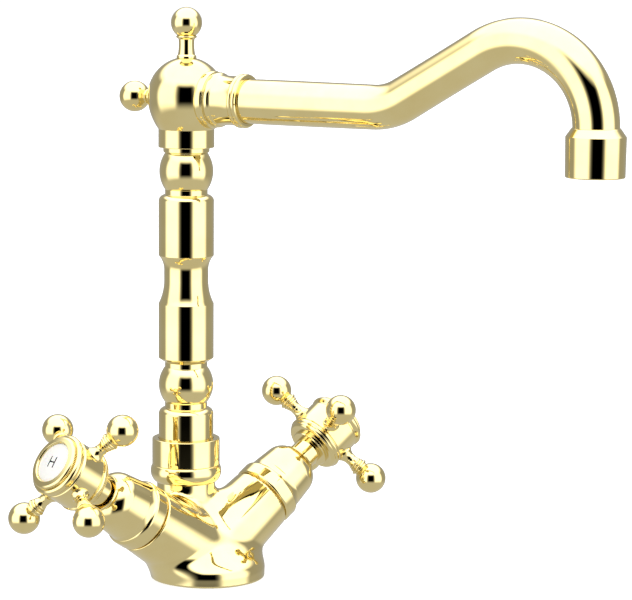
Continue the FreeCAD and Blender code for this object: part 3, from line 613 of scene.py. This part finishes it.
def handle(side):
    where, body = valve_places[side], f"{side}_handle"
    lathe(f"{side}_bonnet_turned", [
        (11.8, 42), (13.9, 42), (13.9, 43.1, 0, 0.1), (15.9, 44.1, 1.2), (15.9, 49, 0, 0.3),
        (14.9, 50.6, 2.4), (14.4, 53.5, -9), (13.4, 62.5), (9.0, 69.6, 8.4),
        (8.7, 70.5, 0, 0.3), (8.2, 70.5), (8.2, 68.2), (7.3, 68.2), (7.3, 66),
        (11.8, 61.5)], where, "root", [f"{side}_bonnet"])
    lathe(f"{side}_stem_sleeve_turned", [(4.02, 63), (6.9, 63), (6.9, 78.5), (4.02, 78.5)],
          where, body, [f"{side}_stem_sleeve"])
    lathe(f"{side}_handle_hub_turned", [
        (4.02, 78.5), (9.4, 78.5), (9.8, 78.9), (9.8, 80.2), (12.2, 80.2, 0, 0.4),
        (13.9, 81.9, 2), (14.1, 82.1, 0, 0.1), (14.5, 83.9, 1.6), (13.8, 84.2, 0, 0.15),
        (13.8, 84.5, 0, 0.15), (14.2, 84.9, 0, 0.25), (14.2, 96.4, 0, 0.3),
        (13.5, 97.2, -1.2), (13.5, 97.6), (14.0, 98.2, 0, 0.3), (14.0, 100.8, 1.6),
        (13.4, 101.2), (11.3, 101.2), (11.3, 98), (5, 98), (5, 93), (2.2, 93), (2.2, 90.9),
        (4.02, 90.9)], where, body, [f"{side}_handle_hub"])
    bezel(side, where, body)
    lathe(f"{side}_porcelain_disc", [
        (0, 99.6), (9.9, 99.6), (9.9, 102.1), (9.35, 102.1), (9.3, 102.4, 0, 0.3),
        (0, DOME_TOP, DOME_RADIUS)], where, body, [f"{side}_index_disc"], closed=False,
        material=FINISHES["porcelain"])
    index_mark(side, where, body)
    axis = where.to_3x3().col[2]
    across = Vector((0, 1, 0)).cross(axis)
    for number in range(4):
        turn = CROSS_TURN[side] + math.pi / 2 * number
        out = across * math.cos(turn) + Vector((0, 1, 0)) * math.sin(turn)
        spot = where @ Vector((0, 0, CROSS_CENTRE))
        lathe(f"{side}_spoke_{number + 1}_turned", ball_tip([
            (0, 6.5), (2, 6.5), (2, 13.3), (4.1, 13.3), (4.1, 14.4, 0, 0.15),
            (2.8, 18, -4.6), (2.7, 18.6), (3.2, 20.6, -7), (3.2, 21.4, 0.6),
            (3.5, 21.6, 0, 0.1), (3.5, 22.7, 0.65), (4, 22.9, 0, 0.1), (4, 24.1, 0.7),
            (3.6, 24.3, 0, 0.1)], 3.6, 31.2, 7.2), placed(spot, out), body,
            [f"{side}_spoke_{number + 1}"], closed=False, segments=SPOKE_SEGMENTS)


for side in valve_places:
    handle(side)

# ---- base casting -----------------------------------------------------------------------

def blend_union(a, b, k):
    h = np.clip(0.5 + 0.5 * (b - a) / k, 0, 1)
    return b + (a - b) * h - k * h * (1 - h)


def blend_cut(a, b, k):
    return -blend_union(-a, -b, k)


def spline(knots, values):
    """Natural cubic spline through the knots, as a function on arrays."""
    x, y = np.array(knots, float), np.array(values, float)
    h = np.diff(x)
    n = len(x)
    rows, right = np.eye(n), np.zeros(n)
    for i in range(1, n - 1):
        rows[i, i - 1:i + 2] = h[i - 1], 2 * (h[i - 1] + h[i]), h[i]
        right[i] = 6 * ((y[i + 1] - y[i]) / h[i] - (y[i] - y[i - 1]) / h[i - 1])
    second = np.linalg.solve(rows, right)

    def evaluate(at):
        at = np.clip(at, x[0], x[-1])
        i = np.clip(np.searchsorted(x, at, "right") - 1, 0, n - 2)
        a, b = x[i + 1] - at, at - x[i]
        return ((second[i] * a ** 3 + second[i + 1] * b ** 3) / (6 * h[i])
                + (y[i] / h[i] - second[i] * h[i] / 6) * a
                + (y[i + 1] / h[i] - second[i + 1] * h[i] / 6) * b)
    return evaluate


ARM_ROOT, ARM_TIP, ARM_END = 18.2, 15.7, 42
SPIGOT_RADIUS, SPIGOT_TOP, NECK_TOP = 13.6, 57, 42.6
COLUMN_BORE, VALVE_BORE = 8.56, 9.5
GROOVE_MIDDLE, GROOVE_HALF, GROOVE_DEEP = 22.75, 1.75, 1.5
FIXING_HOLES = ((0, 13, 3.4, 14), (-12, -4, 4.5, 9), (12, -4, 4.5, 9))   # x, y, radius, depth

VALVES = {side: (np.array(where.translation), np.array(where.to_3x3().col[2]))
          for side, where in valve_places.items()}
SADDLE_KNOTS = [0, 3, 6, 8, 10, 12, 15, 19, 26, 33, 38, 44]
saddle_radius = spline(SADDLE_KNOTS, [26.4, 26.5, 26.4, 25.7, 24.2, 22.0, 18.6, 15.4, 13.6, 13.3,
                                      13.2, 13.4])
saddle_back = spline(SADDLE_KNOTS, [0, 0, 0.1, 0.5, 1.1, 2.1, 4.3, 8.0, 12.8, 15.6, 16.3, 16.5])


def casting_field(p):
    """Distance to the casting's skin, in millimetres, negative inside."""
    x, y, z = p[:, 0], p[:, 1], p[:, 2]
    saddle = (np.hypot(x, y - saddle_back(z)) - saddle_radius(z)) * 0.86
    saddle = blend_cut(saddle, z - NECK_TOP, 0.8)
    arms = None
    for origin, way in VALVES.values():
        t = (p - origin) @ way
        radial = np.linalg.norm(p - origin - t[:, None] * way, axis=1)
        arm = radial - (ARM_ROOT - t * (ARM_ROOT - ARM_TIP) / ARM_END)
        arm = blend_cut(blend_cut(arm, t - ARM_END, 0.8), -4 - t, 3.0)
        arms = arm if arms is None else blend_union(arms, arm, 3.0)
    body = blend_union(saddle, arms, 7.5)
    column = np.hypot(x - pivot.x, y - pivot.y)
    spigot = blend_cut(blend_cut(column - SPIGOT_RADIUS, z - SPIGOT_TOP, 0.6), 36 - z, 0.6)
    body = blend_union(body, spigot, 0.3)
    body = blend_cut(body, -z, 0.7)
    body = blend_cut(body, -blend_cut(column - COLUMN_BORE, 30 - z, 0.6), 0.5)
    for origin, way in VALVES.values():
        t = (p - origin) @ way
        radial = np.linalg.norm(p - origin - t[:, None] * way, axis=1)
        body = blend_cut(body, -blend_cut(radial - VALVE_BORE, 23.3 - t, 0.6), 0.5)
    from_centre = np.hypot(x, y)
    groove = np.maximum(np.abs(from_centre - GROOVE_MIDDLE) - GROOVE_HALF, z - GROOVE_DEEP)
    body = blend_cut(body, -groove, 0.2)
    for hole_x, hole_y, radius, depth in FIXING_HOLES:
        hole = blend_cut(np.hypot(x - hole_x, y - hole_y) - radius, z - depth, 0.4)
        body = blend_cut(body, -hole, 0.3)
    return body


def gradient(field, p, step=0.04):
    parts = []
    for axis in range(3):
        shift = np.zeros(3)
        shift[axis] = step
        parts.append((field(p + shift) - field(p - shift)) / (2 * step))
    return np.stack(parts, 1)


def surface_net(field, low, high, pitch):
    """Quads on the skin of a field: one point for each grid cell that the skin crosses."""
    lines = [np.arange(a, b + pitch, pitch) for a, b in zip(low, high)]
    shape = tuple(len(line) for line in lines)
    grid = np.stack(np.meshgrid(*lines, indexing="ij"), -1).reshape(-1, 3)
    value = np.concatenate([field(part) for part in np.array_split(grid, 8)]).reshape(shape)
    cells = tuple(n - 1 for n in shape)
    total, hits = np.zeros(cells + (3,)), np.zeros(cells)
    corner = np.stack(np.meshgrid(*[line[:-1] for line in lines], indexing="ij"), -1)

    def part(array, dx, dy, dz):
        return array[dx:dx + cells[0], dy:dy + cells[1], dz:dz + cells[2]]

    for axis in range(3):
        for u in (0, 1):
            for v in (0, 1):
                first = [u, v]
                first.insert(axis, 0)
                second = list(first)
                second[axis] = 1
                a, b = part(value, *first), part(value, *second)
                cross = (a < 0) != (b < 0)
                share = np.where(cross, a / np.where(a == b, 1, a - b), 0)
                spot = np.array(first, float) * pitch + corner
                spot[..., axis] += share * pitch
                total += np.where(cross[..., None], spot, 0)
                hits += cross
    used = hits > 0
    number = np.full(cells, -1)
    number[used] = np.arange(used.sum())
    points = total[used] / hits[used][:, None]
    faces = []
    for axis in range(3):
        shifted = [slice(1, -1)] * 3
        shifted[axis] = slice(0, -1)
        ahead = list(shifted)
        ahead[axis] = slice(1, None)
        a, b = value[tuple(shifted)], value[tuple(ahead)]
        spots = np.argwhere((a < 0) != (b < 0)) + np.array([0 if k == axis else 1
                                                            for k in range(3)])
        flips = (value[tuple(spots.T)] < 0)
        one, two = [k for k in range(3) if k != axis]
        quads = []
        for d1, d2 in ((1, 1), (0, 1), (0, 0), (1, 0)):
            cell = spots.copy()
            cell[:, one] -= d1
            cell[:, two] -= d2
            quads.append(number[tuple(cell.T)])
        quads = np.stack(quads, 1)
        turn = flips if axis != 1 else ~flips
        quads[~turn] = quads[~turn][:, ::-1]
        faces.append(quads)
    return points, np.concatenate(faces)


def casting():
    low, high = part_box("mixer_body")
    pitch = 0.85
    start = np.array(low) / MM - 1.3 * pitch
    points, faces = surface_net(casting_field, start, np.array(high) / MM + 1.3 * pitch,
                                pitch)
    for _ in range(6):
        slope = gradient(casting_field, points)
        size = np.maximum((slope ** 2).sum(1), 0.05)
        step = (casting_field(points) / size)[:, None] * slope
        length = np.linalg.norm(step, axis=1)[:, None]
        points = points - step * np.minimum(1, 0.5 * pitch / np.maximum(length, 1e-9))
    normals = gradient(casting_field, points)
    lowest, highest = np.array(low) / MM, np.array(high) / MM
    points = np.clip(points, lowest, highest)
    piece("mixer_body_cast", points, faces.tolist(), normals, Matrix.Identity(4), "root",
          POLISHED, ["mixer_body"])


casting()

# ---- materials on the CAD parts that stay -----------------------------------------------

for name, thing in frame["nodes"].items():
    slot = node_slots.get(name)
    thing.data.materials.clear()
    thing.data.materials.append(FINISHES.get(slot, POLISHED))

# ---- camera -----------------------------------------------------------------------------

AZIMUTH, ELEVATION, ROLL = math.radians(-41.7), math.radians(8.035), math.radians(0.472)
LENS, SENSOR = 148.1, 36
CAMERA_SIDEWAYS, CAMERA_HEIGHT, CAMERA_DISTANCE = 0.0495, 0.1304, 1.199
right = Vector((math.cos(AZIMUTH), math.sin(AZIMUTH), 0))
front = Vector((math.sin(AZIMUTH), -math.cos(AZIMUTH), 0))
away = Vector((math.sin(AZIMUTH) * math.cos(ELEVATION),
               -math.cos(AZIMUTH) * math.cos(ELEVATION), math.sin(ELEVATION)))
up = away.cross(right)
camera_right = right * math.cos(ROLL) + up * math.sin(ROLL)
camera_up = up * math.cos(ROLL) - right * math.sin(ROLL)
camera = bpy.data.objects.new("camera", bpy.data.cameras.new("camera"))
bpy.context.scene.collection.objects.link(camera)
camera.data.lens = LENS
camera.data.sensor_width = SENSOR
camera.data.clip_start, camera.data.clip_end = 0.01, 50
matrix = Matrix((camera_right, camera_up, away)).transposed().to_4x4()
matrix.translation = (right * CAMERA_SIDEWAYS + Vector((0, 0, CAMERA_HEIGHT))
                      + away * CAMERA_DISTANCE)
camera.matrix_world = matrix
bpy.context.scene.camera = camera

# ---- floor and light --------------------------------------------------------------------

FLOOR_HALF = 6.0
ROOF_LEVEL, SIDE_LEVEL, ROOM_LEVEL, FLOOR_LEVEL = 2.5, 2.0, 0.4, 0.6
ROOF_EDGE = 35                 # the overhead light starts this far above the horizon, degrees
SIDE_AT, SIDE_HALF = 60, 30    # the two side lights, degrees from the camera's side
OPENING_HALF = 25              # the unlit opening on the camera's side, degrees
SOFT_EDGE = 10                 # half the width of every soft edge, degrees
DIFFUSE_SHARE = 0.5
BACKDROP = (1.05, 1.05, 1.05)


def floor():
    mesh = bpy.data.meshes.new("floor")
    far = FLOOR_HALF
    mesh.from_pydata([(-far, -far, 0), (far, -far, 0), (far, far, 0), (-far, far, 0)], [],
                     [(0, 1, 2, 3)])
    thing = bpy.data.objects.new("floor", mesh)
    bpy.context.scene.collection.objects.link(thing)
    n = Nodes("pale_floor")
    n.set(Base_Color=n.mix(n.noise(3, 2), (0.55, 0.55, 0.55, 1), (0.57, 0.57, 0.57, 1)),
          Roughness=0.9, Specular_IOR_Level=0.1, Emission_Color=(1, 1, 1, 1),
          Emission_Strength=0.75)
    mesh.materials.append(n.material)
    thing.visible_glossy = False
    thing.location.z = -0.0002


def studio():
    """Plain soft light: an even roof, two side lights, a dim room and one unlit opening."""
    world = bpy.data.worlds.new("studio")
    bpy.context.scene.world = world
    world.use_nodes = True
    tree = world.node_tree
    links = tree.links
    background = tree.nodes["Background"]

    def put(node, values):
        for index, value in enumerate(values):
            if isinstance(value, bpy.types.NodeSocket):
                links.new(value, node.inputs[index])
            else:
                node.inputs[index].default_value = value
        return node.outputs[0]

    def math_node(kind, *values):
        node = tree.nodes.new("ShaderNodeMath")
        node.operation = kind
        return put(node, values)

    def dot(vector, fixed):
        node = tree.nodes.new("ShaderNodeVectorMath")
        node.operation = "DOT_PRODUCT"
        put(node, (vector, fixed))
        return node.outputs["Value"]

    def past(value, edge):
        """0 before the edge and 1 after it, with the studio's soft edge between."""
        node = tree.nodes.new("ShaderNodeMapRange")
        node.interpolation_type = "SMOOTHSTEP"
        return put(node, (value, edge - SOFT_EDGE, edge + SOFT_EDGE))

    def blend(amount, first, second):
        gap = math_node("SUBTRACT", second, first)
        return math_node("MULTIPLY_ADD", gap, amount, first)

    direction = tree.nodes.new("ShaderNodeTexCoord").outputs["Generated"]
    degree = 180 / math.pi
    azimuth = math_node("MULTIPLY", math_node(
        "ARCTAN2", dot(direction, right), dot(direction, front)), degree)
    height = math_node("MINIMUM", math_node("MAXIMUM", dot(direction, (0, 0, 1)), -1.0), 1.0)
    elevation = math_node("MULTIPLY", math_node("ARCSINE", height), degree)
    aside = math_node("ABSOLUTE", azimuth)

    from_side_light = math_node("ABSOLUTE", math_node("SUBTRACT", aside, SIDE_AT))
    walls = blend(past(from_side_light, SIDE_HALF), SIDE_LEVEL, ROOM_LEVEL)
    walls = math_node("MULTIPLY", walls, past(aside, OPENING_HALF))
    level = blend(past(elevation, -2 * SOFT_EDGE), FLOOR_LEVEL, walls)
    level = blend(past(elevation, ROOF_EDGE), level, ROOF_LEVEL)

    rays = tree.nodes.new("ShaderNodeLightPath")
    level = math_node("MULTIPLY", level, blend(
        rays.outputs["Is Diffuse Ray"], 1.0, DIFFUSE_SHARE))
    seen = tree.nodes.new("ShaderNodeMix")
    seen.data_type = "VECTOR"
    links.new(rays.outputs["Is Camera Ray"], seen.inputs[0])
    links.new(level, seen.inputs[4])
    seen.inputs[5].default_value = BACKDROP
    links.new(seen.outputs[1], background.inputs["Color"])
    background.inputs["Strength"].default_value = 1.0


floor()
studio()
bpy.context.scene.view_settings.view_transform = "Standard"
